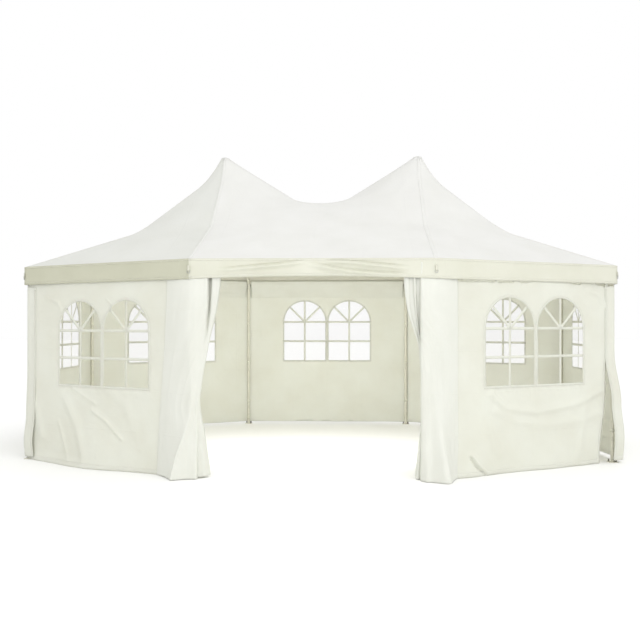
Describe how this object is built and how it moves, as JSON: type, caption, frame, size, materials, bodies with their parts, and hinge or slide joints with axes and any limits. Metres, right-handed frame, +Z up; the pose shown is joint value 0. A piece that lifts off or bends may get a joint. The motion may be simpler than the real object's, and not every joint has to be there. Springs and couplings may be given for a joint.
{
  "type": "octagonal two-peak marquee tent",
  "caption": "Long octagonal party marquee with two peaked roofs, steel tube frame, windowed fabric walls and an open doorway with tied-back curtains.",
  "frame": {"origin": "on the ground, at the middle of the plan", "axes": "+X along the tent from the left end wall to the right end wall, +Z up; the open doorway faces -Y"},
  "size_m": [6.0106, 4.475, 3.28],
  "materials": {
    "frame_steel": "white powder coat, satin",
    "roof_fabric": "coated polyester, matte",
    "wall_fabric": "coated polyester, matte",
    "window_film": "clear soft vinyl"
  },
  "bodies": {
    "root": {"post_front_left": "frame_steel", "post_front_right": "frame_steel", "post_right_front": "frame_steel", "post_right_back": "frame_steel", "post_back_right": "frame_steel", "post_back_left": "frame_steel", "post_left_back": "frame_steel", "post_left_front": "frame_steel", "rail_doorway": "frame_steel", "rail_front_right": "frame_steel", "rail_right_end": "frame_steel", "rail_back_right": "frame_steel", "rail_back": "frame_steel", "rail_back_left": "frame_steel", "rail_left_end": "frame_steel", "rail_front_left": "frame_steel", "rafter_front_left": "frame_steel", "rafter_front_right": "frame_steel", "rafter_right_front": "frame_steel", "rafter_right_back": "frame_steel", "rafter_back_right": "frame_steel", "rafter_back_left": "frame_steel", "rafter_left_back": "frame_steel", "rafter_left_front": "frame_steel", "peak_hub_left": "frame_steel", "peak_hub_right": "frame_steel", "ridge_link": "frame_steel", "canopy": "roof_fabric", "wall_front_right": "wall_fabric", "wall_right_end": "wall_fabric", "wall_back_right": "wall_fabric", "wall_back": "wall_fabric", "wall_back_left": "wall_fabric", "wall_left_end": "wall_fabric", "wall_front_left": "wall_fabric", "window_film_front_right": "window_film", "window_film_right_end": "window_film", "window_film_back_right": "window_film", "window_film_back": "window_film", "window_film_back_left": "window_film", "window_film_left_end": "window_film", "window_film_front_left": "window_film", "curtain_left": "wall_fabric", "curtain_right": "wall_fabric"}
  },
  "joints": []
}
